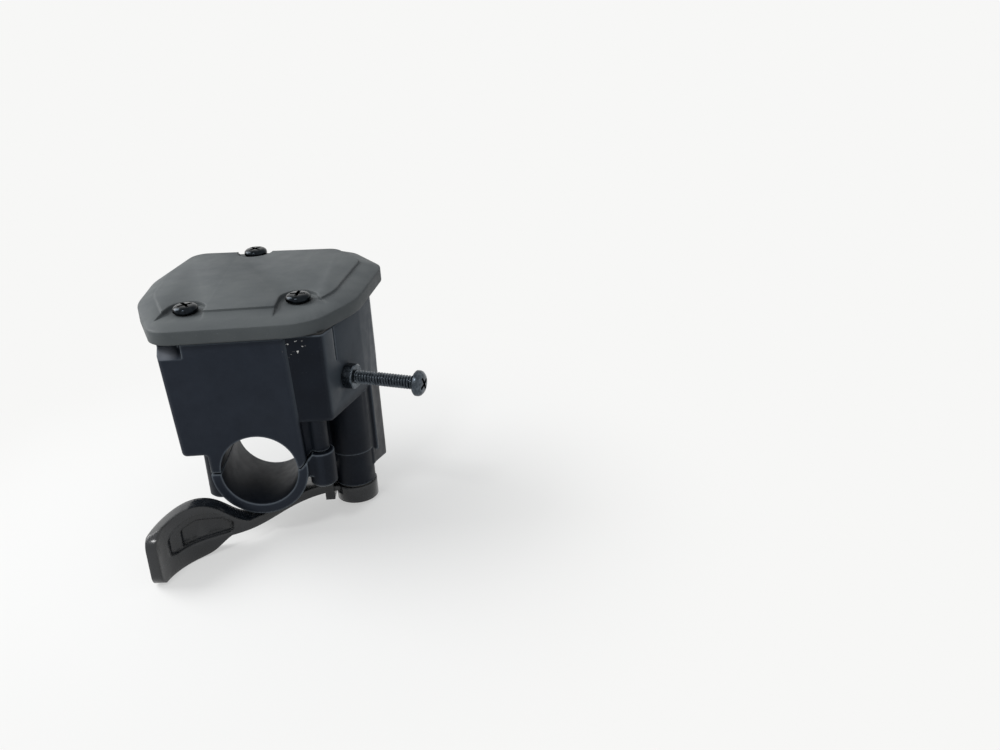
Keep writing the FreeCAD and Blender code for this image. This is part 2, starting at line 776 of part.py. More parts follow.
def lever_side_profile():
    """Height of the arm and the pad, seen along the bar."""
    low_at_boss = hub_top - pair_gap
    clear_of_boss = pivot_x - boss_collar_radius - 2 * moving_gap
    start = pivot_x + boss_radius
    crest = (pad_rise_start - pad_crest) / 10
    high = pad_top - arm_top
    top_line = [V(start, 0, low_at_boss), V(clear_of_boss, 0, low_at_boss),
                V(clear_of_boss - arm_thickness / 2, 0, arm_top), V(pad_rise_start, 0, arm_top)]
    top_curve = [V(pad_rise_start, 0, arm_top), V(pad_rise_start - 3.6 * crest, 0, arm_top + 0.4 * high),
                 V(pad_rise_start - 6.6 * crest, 0, arm_top + 0.8 * high), V(pad_crest, 0, pad_top),
                 V((pad_crest + pad_tip_x) / 2, 0, pad_top - 0.06 * high),
                 V(pad_tip_x, 0, pad_top - 0.28 * high)]
    fall = (pad_drop_start - pad_tip_x) / 10
    low = arm_bottom - pad_bottom
    low_curve = [V(pad_tip_x, 0, pad_bottom + 0.15 * low), V(pad_tip_x + 3.2 * fall, 0, pad_bottom),
                 V(pad_tip_x + 6.0 * fall, 0, pad_bottom + 0.03 * low),
                 V(pad_tip_x + 7.5 * fall, 0, arm_bottom - 0.8 * low),
                 V(pad_tip_x + 8.9 * fall, 0, arm_bottom - 0.35 * low), V(pad_drop_start, 0, arm_bottom)]
    edges = [Part.makeLine(a, b) for a, b in zip(top_line[:-1], top_line[1:])]
    edges.append(spline_edge(top_curve))
    edges.append(Part.makeLine(top_curve[-1], low_curve[0]))
    edges.append(spline_edge(low_curve))
    edges.append(Part.makeLine(low_curve[-1], V(start, 0, arm_bottom)))
    edges.append(Part.makeLine(V(start, 0, arm_bottom), top_line[0]))
    face = Part.Face(Part.Wire(edges))
    face.translate(V(0, -beyond, 0))
    return face.extrude(V(0, 2 * beyond, 0))


def pad_tip_mask():
    """Rounds the pad's outer end, seen across the bar."""
    tip = lever_path[-1][1]
    behind = pivot_y + 2 * hub_radius
    corners = [(tip, pad_bottom, pad_corner), (behind, pad_bottom - 2 * pad_corner, 1.0),
               (behind, pad_top + 2 * pad_corner, 1.0), (tip + pad_corner * 2.6, pad_top + pad_corner, 1.0),
               (tip, pad_top - pad_corner * 0.75, pad_corner * 0.9)]
    mask = prism_along_y(corners, -beyond, beyond)
    mask.rotate(V(0, 0, 0), V(0, 0, 1), 90)
    return mask


def dish():
    """Hollow in the pad's outer face: a shallow step, and the floor inside it, set in from the rim."""
    low = pad_bottom + dish_low_lip
    high = pad_top - dish_high_lip
    span = dish_neck_x - dish_tip_x
    corners = [(dish_tip_x, low, 1.6), (dish_neck_x - 0.04 * span, low + 0.2, 0.8),
               (dish_neck_x, low + 0.4 * (high - low), 1.2), (dish_neck_x - 0.3 * span, high - 1.3, 3.0),
               (dish_neck_x - 0.62 * span, high, 4.0), (dish_tip_x, high - 1.5, 3.0)]
    floor_corners = inset(corners, [0.3, 0.3, dish_slope / 2, dish_slope, dish_slope, dish_slope])
    face = pad_thickness / 2
    levels = []
    for depth, edge in ((dish_depth / 2, corners), (dish_depth, floor_corners)):
        layer = ribbon([face + dish_depth] * len(lever_path), [face - depth] * len(lever_path), -beyond, 0)
        levels.append(layer.common(prism_along_y(edge, -beyond, beyond)))
    return levels[0].fuse(levels[1])


def lever_strip():
    """Arm and pad: wide at the hub, slim where it passes the clamp ring, thin at the tip."""
    half_arm = arm_width / 2
    half_pad = pad_thickness / 2
    near = [half_arm, half_arm * 0.85, half_arm * 0.6, half_arm * 0.5] + [half_pad] * 4
    far = [half_arm, half_arm, half_arm * 0.9, half_pad * 1.1, half_pad, half_pad * 0.9, half_pad * 0.65,
           half_pad * 0.3]
    strip = ribbon(near, [-w for w in far], -beyond, beyond)
    return strip.common(lever_side_profile()).common(pad_tip_mask())


def thumb_lever():
    """Cast lever: hub, stop block, cranked arm and dished pad."""
    hub = post(pivot_x, pivot_y, hub_radius, hub_bottom, hub_top)
    stop_front = pivot_y + moving_gap / 2 - stop_depth
    stop = block(stop_left(), stop_left() + stop_width, stop_front, stop_front + stop_depth,
                 hub_bottom + 1.0, stop_top())
    body = fuse([lever_strip(), hub, stop]).cut(dish())
    body = body.cut(drive_bar(hub_bottom - 1, hub_top + 1, pair_gap))
    pocket = post(pivot_x, pivot_y, stub_nut_flats / 2 + 0.8, hub_bottom - 1, lever_nut_seat())
    return single(body.cut(pocket))


def stop_left():
    return pivot_x - boss_collar_radius - 3.0


def stop_top():
    return arm_top + 2.3


# Cable arm

def limiter_tab():
    """Tab hanging from the cable arm, drawn where the limiter screw would meet it."""
    inside = limiter_length - limiter_exposed - limiter_nut_height
    reach = inside + limiter_travel + limiter_tab_gap
    top = arm_plate_bottom + arm_plate_thickness
    low = limiter_z - limiter_radius + 0.3
    middle = limiter_seat - flank_normal * (reach + limiter_tab_thickness / 2)
    tab = block(-limiter_tab_thickness / 2, limiter_tab_thickness / 2, -limiter_tab_width / 2,
                limiter_tab_width / 2, low, top)
    tab.rotate(V(0, 0, 0), V(0, 0, 1), math.degrees(math.atan2(flank_normal.y, flank_normal.x)))
    return placed(tab, middle.x, middle.y, 0)


def spring_ear():
    """Upright ear at the arm's root, which carries the spring's lower leg."""
    inner = spring_mean_radius + spring_wire / 2 + pair_gap
    top = arm_plate_bottom + arm_plate_thickness
    return block(2.0, 7.0, -inner - 1.3, -inner, arm_plate_bottom, top + 1.8 * spring_wire)


def cable_arm():
    """Arm drawn along +X, then turned to its rest angle about the pivot."""
    top = arm_plate_bottom + arm_plate_thickness
    low = V(0, 0, arm_plate_bottom)
    root = V(0, cable_arm_hub_radius, 0)
    tip = V(cable_reach, 0, 0)
    half_tip = V(0, eye_radius, 0)
    corners = [root + low, tip + half_tip + low, tip - half_tip + low, low - root]
    plate = Part.Face(Part.makePolygon(corners + corners[:1])).extrude(V(0, 0, arm_plate_thickness))
    body = fuse([plate, post(0, 0, cable_arm_hub_radius, arm_plate_bottom, top),
                 post(cable_reach, 0, eye_radius, arm_plate_bottom, top), spring_ear()])
    body = body.cut(post(cable_reach, 0, cable_eye_radius, 0, beyond))
    body.rotate(V(0, 0, 0), V(0, 0, 1), cable_arm_angle)
    body = placed(body, pivot_x, pivot_y, 0)
    tab = limiter_tab()
    tab.rotate(pivot, V(0, 0, 1), -lever_travel)
    return single(fuse([body, tab]).cut(drive_bar(0, beyond, pair_gap)))


def spring_collar():
    ring = washer(stub_radius + 0.1, collar_radius, collar_height)
    return placed(ring, pivot_x, pivot_y, arm_plate_bottom + arm_plate_thickness)


def return_spring():
    """Torsion coil; its lower leg lies on the arm's ear and its upper leg against the forward post."""
    post_x, post_y = cover_screw_places[1]
    reach = math.hypot(post_x - pivot_x, post_y - pivot_y)
    post_angle = math.degrees(math.atan2(post_y - pivot_y, post_x - pivot_x)) % 360
    spacing = spring_mean_radius + spring_wire / 2 + pair_gap + slim_post_radius
    end_angle = post_angle + math.degrees(math.acos(spacing / reach))
    start_angle = cable_arm_angle - 90
    turns = spring_turns - ((end_angle - start_angle) % 360) / 360
    pitch = spring_wire + 0.15
    height = pitch * turns
    helix = Part.makeHelix(pitch, height, spring_mean_radius)
    start = helix.Edges[0].Vertexes[0].Point
    heading = V(0, 1, pitch / (2 * math.pi * spring_mean_radius)).normalize()
    turn = FreeCAD.Rotation(V(0, 0, 1), 360 * turns)
    end = turn.multVec(V(spring_mean_radius, 0, 0)) + V(0, 0, height)
    legs = [Part.makeLine(start - heading * spring_leg, start),
            Part.makeLine(end, end + turn.multVec(heading) * spring_leg)]
    path = Part.Wire([legs[0]] + helix.Edges + [legs[1]])
    section = Part.Wire(Part.makeCircle(spring_wire / 2, start - heading * spring_leg, heading))
    coil = path.makePipeShell([section], True, True).mirror(V(0, 0, 0), V(0, 1, 0))
    coil.rotate(V(0, 0, 0), V(0, 0, 1), start_angle)
    base = arm_plate_bottom + arm_plate_thickness + 1.2 * spring_wire
    return placed(coil, pivot_x, pivot_y, base)


def arm_washer():
    ring = washer(stub_radius + 0.1, stub_nut_flats / 2 + 0.7, arm_washer_thickness)
    return placed(ring, pivot_x, pivot_y, arm_nut_base() - arm_washer_thickness)


def arm_nut():
    body = nut(stub_nut_flats, arm_nut_height, stub_radius + thread_clearance)
    return placed(body, pivot_x, pivot_y, arm_nut_base())


# Limiter

def limiter_screw():
    screw = pan_screw(limiter_radius, limiter_length, limiter_head_radius, limiter_head_height)
    return on_limiter_axis(screw, limiter_exposed + limiter_nut_height)


def limiter_lock_nut():
    return on_limiter_axis(nut(limiter_nut_flats, limiter_nut_height, limiter_radius + thread_clearance), 0)


nodes = {
    "housing": housing,
    "cover_plate": cover_plate,
    "cover_gasket": cover_gasket,
    "cover_screws": cover_screws,
    "clamp_cap": clamp_cap,
    "clamp_screws": clamp_screws,
    "clamp_washers": clamp_washers,
    "thumb_lever": thumb_lever,
    "pivot_shaft": pivot_shaft,
    "lower_bush": lower_bush,
    "upper_bush": upper_bush,
    "shaft_seal": shaft_seal,
    "thrust_washer": thrust_washer,
    "lever_washer": lever_washer,
    "lever_nut": lever_nut,
    "cable_arm": cable_arm,
    "return_spring": return_spring,
    "spring_collar": spring_collar,
    "arm_washer": arm_washer,
    "arm_nut": arm_nut,
    "limiter_screw": limiter_screw,
    "limiter_lock_nut": limiter_lock_nut,
}

os.makedirs("parts", exist_ok=True)
for name, make in nodes.items():
    shape = make()
    shape.exportStep("parts/" + name + ".step")
    print(name, "solids", len(shape.Solids), "valid", shape.isValid(), "volume", round(shape.Volume, 1))
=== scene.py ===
import json
import math

import bmesh
import bpy
from mathutils import Matrix, Vector


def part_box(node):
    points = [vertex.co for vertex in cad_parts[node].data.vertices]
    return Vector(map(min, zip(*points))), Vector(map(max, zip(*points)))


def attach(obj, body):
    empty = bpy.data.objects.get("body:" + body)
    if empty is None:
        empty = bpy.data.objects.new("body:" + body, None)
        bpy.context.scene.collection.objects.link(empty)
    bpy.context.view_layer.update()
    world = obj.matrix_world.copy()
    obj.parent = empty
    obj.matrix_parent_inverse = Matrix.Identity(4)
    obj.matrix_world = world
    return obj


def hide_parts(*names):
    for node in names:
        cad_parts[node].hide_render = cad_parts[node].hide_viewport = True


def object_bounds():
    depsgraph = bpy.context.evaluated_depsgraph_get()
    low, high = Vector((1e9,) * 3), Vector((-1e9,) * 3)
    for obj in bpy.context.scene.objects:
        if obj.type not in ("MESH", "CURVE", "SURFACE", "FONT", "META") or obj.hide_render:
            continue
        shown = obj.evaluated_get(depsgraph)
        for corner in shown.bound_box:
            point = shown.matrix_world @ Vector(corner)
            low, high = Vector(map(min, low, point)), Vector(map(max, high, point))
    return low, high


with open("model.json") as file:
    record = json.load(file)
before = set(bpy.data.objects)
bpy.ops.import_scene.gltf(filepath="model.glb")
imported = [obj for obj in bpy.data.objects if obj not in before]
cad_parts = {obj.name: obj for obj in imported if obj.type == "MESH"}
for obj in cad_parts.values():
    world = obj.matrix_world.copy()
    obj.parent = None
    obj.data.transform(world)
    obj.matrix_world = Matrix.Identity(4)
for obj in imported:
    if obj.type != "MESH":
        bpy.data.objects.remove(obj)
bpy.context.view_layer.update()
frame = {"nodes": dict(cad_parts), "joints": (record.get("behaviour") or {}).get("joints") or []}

MM = 0.001
COLOUR = {"data_type": "RGBA"}
PRODUCT = {"operation": "MULTIPLY"}


# Colours and nodes

def linear(hex_code):
    """An sRGB hex value as a linear colour."""
    parts = [int(hex_code[i:i + 2], 16) / 255 for i in (1, 3, 5)]
    return tuple(c / 12.92 if c <= 0.04045 else ((c + 0.055) / 1.055) ** 2.4 for c in parts) + (1.0,)


def add(tree, kind, settings=None, inputs=None, **links):
    """Adds a node; settings are its properties, inputs its socket values, links its socket sources."""
    node = tree.nodes.new(kind)
    for key, value in (settings or {}).items():
        setattr(node, key, value)
    for key, value in (inputs or {}).items():
        node.inputs[key].default_value = value
    for key, source in links.items():
        tree.links.new(source, node.inputs[int(key[1:]) if key[1:].isdigit() else key.replace("_", " ")])
    return node


def surface(name, **values):
    """A new material with a Principled shader whose own sockets hold the constant values."""
    made = bpy.data.materials.new(name)
    made.use_nodes = True
    tree = made.node_tree
    shader = tree.nodes["Principled BSDF"]
    for key, value in values.items():
        shader.inputs[key.replace("_", " ")].default_value = value
    place = add(tree, "ShaderNodeTexCoord").outputs["Object"]
    return made, tree, shader, place


def patches(tree, place, size_mm, low, high, least=0.0, most=1.0, detail=3.0, rough=0.5):
    """Soft patches about size_mm wide, where noise from low to high becomes least to most."""
    look = {"Scale": 1 / (size_mm * MM), "Detail": detail, "Roughness": rough}
    noise = add(tree, "ShaderNodeTexNoise", {}, look, Vector=place).outputs["Fac"]
    span = {"From Min": low, "From Max": high, "To Min": least, "To Max": most}
    return add(tree, "ShaderNodeMapRange", {}, span, Value=noise).outputs["Result"]


def two_tone(tree, place, dark, light, size_mm, low=0.3, detail=3.0):
    """Two tones of one colour that cloud into each other in patches of size_mm."""
    amount = patches(tree, place, size_mm, low, 0.7, detail=detail)
    ends = {6: linear(dark), 7: linear(light)}
    return add(tree, "ShaderNodeMix", COLOUR, ends, _0=amount).outputs[2]


def layered(tree, tone, layers):
    """Lays each (amount, hex colour) over the tone in turn."""
    for amount, colour in layers:
        tone = add(tree, "ShaderNodeMix", COLOUR, {7: linear(colour)}, _0=amount, _6=tone).outputs[2]
    return tone


def near(tree, place, centre_mm, inner_mm, outer_mm, most):
    """Most within inner_mm of a point, and less out to outer_mm."""
    centre = [c * MM for c in centre_mm]
    away = add(tree, "ShaderNodeVectorMath", {"operation": "DISTANCE"}, {1: centre}, _0=place)
    span = {"From Min": inner_mm * MM, "From Max": outer_mm * MM, "To Min": most, "To Max": 0.0}
    return add(tree, "ShaderNodeMapRange", {}, span, Value=away.outputs["Value"]).outputs["Result"]


def edge_wear_and_highlight(tree, reach_mm):
    """1 at outer edges, lightened both as wear where hands and bags rub the surface and as a painted
    highlight along the edges, and 0 on flats and in corners.
    """
    inside = add(tree, "ShaderNodeAmbientOcclusion", {"inside": True, "only_local": True, "samples": 8},
                 {"Distance": reach_mm * MM}).outputs["AO"]
    span = {"From Min": 0.6, "From Max": 0.97, "To Min": 1.0, "To Max": 0.0}
    return add(tree, "ShaderNodeMapRange", {}, span, Value=inside).outputs["Result"]


def relief(tree, shader, place, size_mm, depth_mm, strength, edge_mm=0.0, detail=2.0, rough=0.5):
    """Grain of a real width and depth, over edges that the light rounds to edge_mm."""
    look = {"Scale": 1 / (size_mm * MM), "Detail": detail, "Roughness": rough}
    noise = add(tree, "ShaderNodeTexNoise", {}, look, Vector=place).outputs["Fac"]
    bump = add(tree, "ShaderNodeBump", {}, {"Strength": strength, "Distance": depth_mm * MM}, Height=noise)
    if edge_mm:
        rounded = add(tree, "ShaderNodeBevel", {"samples": 6}, {"Radius": edge_mm * MM})
        tree.links.new(rounded.outputs["Normal"], bump.inputs["Normal"])
    tree.links.new(bump.outputs["Normal"], shader.inputs["Normal"])


# Materials

def face_film(tree, place, place_y):
    """Dust on the flat face round the bore, which lies furthest out along -Y."""
    span = {"From Min": -12.7 * MM, "From Max": -12.2 * MM, "To Min": 1.0, "To Max": 0.0}
    face = add(tree, "ShaderNodeMapRange", {}, span, Value=place_y).outputs["Result"]
    uneven = patches(tree, place, 5.0, 0.3, 0.7, least=0.7, detail=4.0, rough=0.6)
    return add(tree, "ShaderNodeMath", PRODUCT, {}, _0=face, _1=uneven).outputs["Value"]


def flank_painted_light(tree, facing_x, place_z):
    """The right flank above the boss, where a lighter grey is painted in as painted light: the bright
    table's reflection on that side.
    """
    sideways = add(tree, "ShaderNodeMapRange", {}, {"From Min": 0.4, "From Max": 0.9}, Value=facing_x)
    above = add(tree, "ShaderNodeMapRange", {}, {"From Min": 14 * MM, "From Max": 17 * MM}, Value=place_z)
    return add(tree, "ShaderNodeMath", PRODUCT, {}, _0=sideways.outputs["Result"],
               _1=above.outputs["Result"]).outputs["Value"]


def notch_painted_highlight(tree, place, facing_z):
    """The ledge of the corner notch, with a soft painted highlight where it faces up."""
    ledge = near(tree, place, (-21.0, -11.0, 36.2), inner_mm=0.5, outer_mm=4.0, most=0.9)
    upward = add(tree, "ShaderNodeMapRange", {}, {"From Min": 0.3, "From Max": 0.8}, Value=facing_z)
    return add(tree, "ShaderNodeMath", PRODUCT, {}, _0=ledge, _1=upward.outputs["Result"]).outputs["Value"]


def chips(tree, place):
    """A few bare chips by the forward edge of the clamp face, under the cover."""
    spot = near(tree, place, (14.6, -12.0, 37.4), inner_mm=1.2, outer_mm=3.6, most=1.0)
    flakes = patches(tree, place, 0.9, 0.67, 0.7, detail=1.0)
    return add(tree, "ShaderNodeMath", PRODUCT, {}, _0=spot, _1=flakes).outputs["Value"]


def housing_paint():
    """Satin paint on die cast aluminium: near black with a cold tinge, dusty grey on the clamp's face."""
    made, tree, shader, place = surface("satin_paint_on_die_casting", IOR=1.5, Specular_IOR_Level=0.16,
                                        Specular_Tint=linear("#e4ecff"))
    axes = add(tree, "ShaderNodeSeparateXYZ", {}, {}, Vector=place).outputs
    normal = add(tree, "ShaderNodeNewGeometry").outputs["Normal"]
    facing = add(tree, "ShaderNodeSeparateXYZ", {}, {}, Vector=normal).outputs
    # Rubbed grain catches the light as fine grey specks
    specks = patches(tree, place, 0.35, 0.72, 0.8, most=0.5, detail=1.0)
    tone = layered(tree, two_tone(tree, place, "#0a0e14", "#0f141b", 9.0, low=0.35), [
        (face_film(tree, place, axes["Y"]), "#22272f"),
        (specks, "#3c4146"),
        # Painted light: a lighter grey on the right flank, for the table's reflection
        (flank_painted_light(tree, facing["X"], axes["Z"]), "#3a4046"),
        # Painted highlight on the corner notch's ledge
        (notch_painted_highlight(tree, place, facing["Z"]), "#8b8f96"),
        # Edge wear, and a painted highlight along the outer edges
        (edge_wear_and_highlight(tree, 0.65), "#5f666d"),
        (chips(tree, place), "#e6e5e0"),
    ])
    tree.links.new(tone, shader.inputs["Base Color"])
    rough = patches(tree, place, 3.0, 0.3, 0.75, least=0.4, most=0.52)
    tree.links.new(rough, shader.inputs["Roughness"])
    relief(tree, shader, place, 0.55, depth_mm=0.05, strength=0.3, edge_mm=1.2, detail=3.0, rough=0.6)
    return made


def low_edge_painted_shade(tree, place):
    """The cover's lowest half millimetre, by the gasket, a trace darker than the rest: painted shade where
    the cover meets the housing.
    """
    height = add(tree, "ShaderNodeSeparateXYZ", {}, {}, Vector=place).outputs["Z"]
    span = {"From Min": 34 * MM, "From Max": 40 * MM, "To Min": 1.0, "To Max": 0.0}
    return add(tree, "ShaderNodeMapRange", {}, span, Value=height).outputs["Result"]


def cover_moulding():
    """Glass-filled nylon moulding: matte dark grey with a spark-eroded grain and faint handling marks."""
    made, tree, shader, place = surface("grained_nylon_moulding", IOR=1.5, Specular_IOR_Level=0.16)
    cloud = two_tone(tree, place, "#474b4d", "#4f5354", 14.0, detail=4.0)
    specks = patches(tree, place, 0.5, 0.70, 0.8, most=0.35, detail=1.0)
    # The darker lowest edge is painted shade
    tone = layered(tree, cloud, [(low_edge_painted_shade(tree, place), "#101317"), (specks, "#6b6e6e")])
    tree.links.new(tone, shader.inputs["Base Color"])
    rough = patches(tree, place, 5.0, 0.3, 0.7, least=0.5, most=0.62)
    tree.links.new(rough, shader.inputs["Roughness"])
    relief(tree, shader, place, 0.4, depth_mm=0.04, strength=0.4, edge_mm=0.9, rough=0.6)
    return made


def lever_enamel():
    """Stoved gloss enamel: black, with sharp highlights over a slightly wavy casting."""
    made, tree, shader, place = surface("black_stoved_enamel", IOR=1.5, Specular_IOR_Level=0.4,
                                        Coat_Weight=0.35, Coat_Roughness=0.08)
    tree.links.new(two_tone(tree, place, "#0f1216", "#161a1f", 6.0), shader.inputs["Base Color"])
    rough = patches(tree, place, 2.5, 0.3, 0.75, least=0.2, most=0.34)
    tree.links.new(rough, shader.inputs["Roughness"])
    relief(tree, shader, place, 2.2, depth_mm=0.05, strength=0.3, edge_mm=1.3)
    return made


def metal(name, dark, light, rough_low, rough_high, grain_mm):
    """A metal with a fine worked grain; its two tones and roughness say which finish it has."""
    made, tree, shader, place = surface(name, Metallic=1.0)
    tree.links.new(two_tone(tree, place, dark, light, grain_mm * 4), shader.inputs["Base Color"])
    rough = patches(tree, place, grain_mm, 0.3, 0.75, least=rough_low, most=rough_high)
    tree.links.new(rough, shader.inputs["Roughness"])
    relief(tree, shader, place, grain_mm, depth_mm=0.01, strength=0.3, edge_mm=0.12)
    return made


def soft(name, dark, light, rough, grain_mm):
    """A rubber or plain plastic, matte, with a faint mottling."""
    made, tree, shader, place = surface(name, IOR=1.5, Roughness=rough)
    tree.links.new(two_tone(tree, place, dark, light, grain_mm * 5), shader.inputs["Base Color"])
    relief(tree, shader, place, grain_mm, depth_mm=0.02, strength=0.3)
    return made


paint = housing_paint()
moulding = cover_moulding()
enamel = lever_enamel()
# Black oxide keeps the steel's shine under a dark grey skin that is paler in patches
black_oxide = metal("black_oxide_steel", "#2f353b", "#5c636a", 0.2, 0.34, 0.3)
# Black zinc on the cover's screws is darker and glossier, with hard glints
black_zinc = metal("black_zinc_steel", "#14171a", "#23272b", 0.12, 0.24, 0.3)
# Zinc plate is a cool silver with a slight haze
zinc = metal("zinc_plated_steel", "#a9abab", "#c4c6c6", 0.28, 0.4, 0.4)
# Drawn spring wire is grey and bright along its length
wire = metal("drawn_spring_wire", "#6f7173", "#8d8f91", 0.25, 0.35, 0.25)
# Sintered bronze is dull and open-pored
bronze = metal("sintered_bronze", "#7a5a33", "#94703f", 0.45, 0.6, 0.3)
# Nitrile rubber is a dull black
nitrile = soft("nitrile_rubber", "#141414", "#1e1e1e", 0.65, 0.5)
# Unfilled nylon is a waxy off-white
nylon = soft("natural_nylon", "#cfcabc", "#dcd8cb", 0.45, 0.8)
# The washer under the boss is a dark grey nylon
dark_washer_nylon = soft("dark_grey_nylon", "#2c2b29", "#3a3936", 0.4, 0.8)


def dress(names, material):
    """Gives the CAD nodes their material."""
    for name in names:
        slots = frame["nodes"][name].data.materials
        slots.clear()
        slots.append(material)


dress(["housing", "clamp_cap"], paint)
dress(["cover_plate"], moulding)
dress(["thumb_lever"], enamel)
dress(["cover_screws", "clamp_screws", "limiter_screw", "limiter_lock_nut"], black_oxide)
dress(["pivot_shaft", "cable_arm", "arm_washer", "arm_nut"], zinc)
dress(["lever_washer", "lever_nut", "clamp_washers"], zinc)
dress(["return_spring"], wire)
dress(["upper_bush", "lower_bush"], bronze)
dress(["cover_gasket", "shaft_seal"], nitrile)
dress(["spring_collar"], nylon)
dress(["thrust_washer"], dark_washer_nylon)


# Shapes

def finish_mesh(name, mesh_data, material):
    """Turns a bmesh into an object at the origin."""
    mesh = bpy.data.meshes.new(name)
    mesh_data.to_mesh(mesh)
    mesh_data.free()
    mesh.materials.append(material)
    made = bpy.data.objects.new(name, mesh)
    bpy.context.scene.collection.objects.link(made)
    return made


def apply_all(piece):
    """Applies the piece's modifiers and leaves a plain mesh."""
    bpy.context.view_layer.update()
    evaluated = piece.evaluated_get(bpy.context.evaluated_depsgraph_get())
    mesh = bpy.data.meshes.new_from_object(evaluated)
    piece.modifiers.clear()
    piece.data = mesh


def clean_copy(node):
    """The node's surface, merged to a closed mesh with flat areas in one face each."""
    bm = bmesh.new()
    bm.from_mesh(frame["nodes"][node].data)
    bmesh.ops.remove_doubles(bm, verts=bm.verts, dist=0.002 * MM)
    bmesh.ops.dissolve_limit(bm, angle_limit=math.radians(0.6), use_dissolve_boundaries=False,
                             verts=bm.verts, edges=bm.edges)
    bmesh.ops.recalc_face_normals(bm, faces=bm.faces)
    return bm


def eased(node, name, material, body, width_mm, segments=2, angle=28, crease=32):
    """The node with its sharp edges eased, as paint or a mould leaves them."""
    piece = finish_mesh(name, clean_copy(node), material)
    bevel = piece.modifiers.new("ease", "BEVEL")
    bevel.limit_method = "ANGLE"
    bevel.angle_limit = math.radians(angle)
    bevel.width = width_mm * MM
    bevel.segments = segments
    bevel.harden_normals = False
    bevel.use_clamp_overlap = True
    bevel.miter_outer = "MITER_ARC"
    apply_all(piece)
    piece.data.shade_smooth()
    piece.data.set_sharp_from_angle(angle=math.radians(crease))
    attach(piece, body)
    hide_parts(node)


eased("housing", "housing_casting", paint, "body", 0.35)
eased("cover_plate", "cover_moulding", moulding, "body", 0.5)
eased("clamp_cap", "cap_casting", paint, "body", 0.4)
eased("thumb_lever", "lever_casting", enamel, "lever", 0.7, segments=3, angle=24)


# Limiter screw

def limiter_axis():
    """Middle of the lock nut and the limiter's outward direction, from the frame."""
    low, high = [Vector(c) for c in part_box("limiter_lock_nut")]
    joint = [j for j in frame["joints"] if j["name"] == "limiter_slide"][0]
    return (low + high) / 2, -Vector(joint["axis"]).normalized()


def thread(bm, radius, pitch, low, high, steps=20):
    """Helical thread about +Z from low to high, all in mm."""
    turns = int((high - low) / pitch)
    root = radius - 0.6 * pitch
    profile = [(root, 0.0), (radius, 0.38 * pitch), (radius, 0.5 * pitch), (root, 0.88 * pitch),
               (root, pitch)]
    verts = [bm.verts.new((r * MM, 0, (low + z) * MM)) for r, z in profile]
    edges = [bm.edges.new(pair) for pair in zip(verts[:-1], verts[1:])]
    bmesh.ops.spin(bm, geom=verts + edges, cent=(0, 0, 0), axis=(0, 0, 1), dvec=(0, 0, pitch * MM / steps),
                   angle=math.radians(360) * turns, steps=steps * turns, use_duplicate=False)
    bmesh.ops.remove_doubles(bm, verts=bm.verts, dist=0.01 * MM)


def lathe(bm, outline, steps=48):
    """Solid turned about +Z from an outline of (radius, height) in mm that starts and ends on the axis."""
    verts = [bm.verts.new((r * MM, 0, z * MM)) for r, z in outline]
    edges = [bm.edges.new(pair) for pair in zip(verts[:-1], verts[1:])]
    bmesh.ops.spin(bm, geom=verts + edges, cent=(0, 0, 0), axis=(0, 0, 1), angle=math.radians(360),
                   steps=steps, use_merge=True)
    bmesh.ops.remove_doubles(bm, verts=bm.verts, dist=0.005 * MM)


def crossed(name, outline, top, material, arm, width, depth):
    """Turned piece with a cross recess sunk in its top; outline and sizes in mm."""
    body = bmesh.new()
    lathe(body, outline)
    bmesh.ops.recalc_face_normals(body, faces=body.faces)
    cutter = bmesh.new()
    for along, across in ((arm, width), (width, arm)):
        size = Matrix.Diagonal((along * MM, across * MM, 2 * depth * MM, 1))
        bmesh.ops.create_cube(cutter, size=1, matrix=Matrix.Translation((0, 0, top * MM)) @ size)
    piece = finish_mesh(name, body, material)
    tool = finish_mesh("recess_tool", cutter, material)
    cut = piece.modifiers.new("recess", "BOOLEAN")
    cut.operation = "DIFFERENCE"
    cut.object = tool
    cut.solver = "EXACT"
    cut.use_self = True
    apply_all(piece)
    bpy.data.objects.remove(tool)
    return piece


def soften(piece, body, angle=30):
    """Smooth shading up to an angle, on the body that the piece moves with."""
    piece.data.shade_smooth()
    piece.data.set_sharp_from_angle(angle=math.radians(angle))
    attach(piece, body)


def limiter_screw():
    """Pan head screw whose thread and cross recess are cut for real."""
    middle, out = limiter_axis()
    nut_half, exposed, length = 1.6, 18.8, 30.0
    # An M4 thread's pitch is 0.7; it is cut coarser, as its ridges show in the photograph
    pitch = 0.88
    seat = nut_half + exposed
    tip = seat - length
    shank = bmesh.new()
    thread(shank, 2.0, pitch, tip + 0.8, seat - 0.1)
    lathe(shank, [(0, tip), (1.4, tip), (1.5, tip + 0.5), (1.5, seat), (0, seat)], 24)
    bmesh.ops.recalc_face_normals(shank, faces=shank.faces)
    outline = [(0, seat), (3.4, seat), (3.7, seat + 0.3), (3.7, seat + 1.1), (3.5, seat + 1.6),
               (2.9, seat + 2.15), (1.9, seat + 2.5), (0.9, seat + 2.58), (0, seat + 2.6)]
    head_piece = crossed("limiter_head", outline, seat + 2.6, black_oxide, arm=4.2, width=0.95, depth=1.6)
    shank_piece = finish_mesh("limiter_shank", shank, black_oxide)
    turn = Vector((0, 0, 1)).rotation_difference(out).to_matrix().to_4x4()
    for piece in (head_piece, shank_piece):
        piece.data.transform(Matrix.Translation(middle) @ turn)
        soften(piece, "limiter")
    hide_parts("limiter_screw")


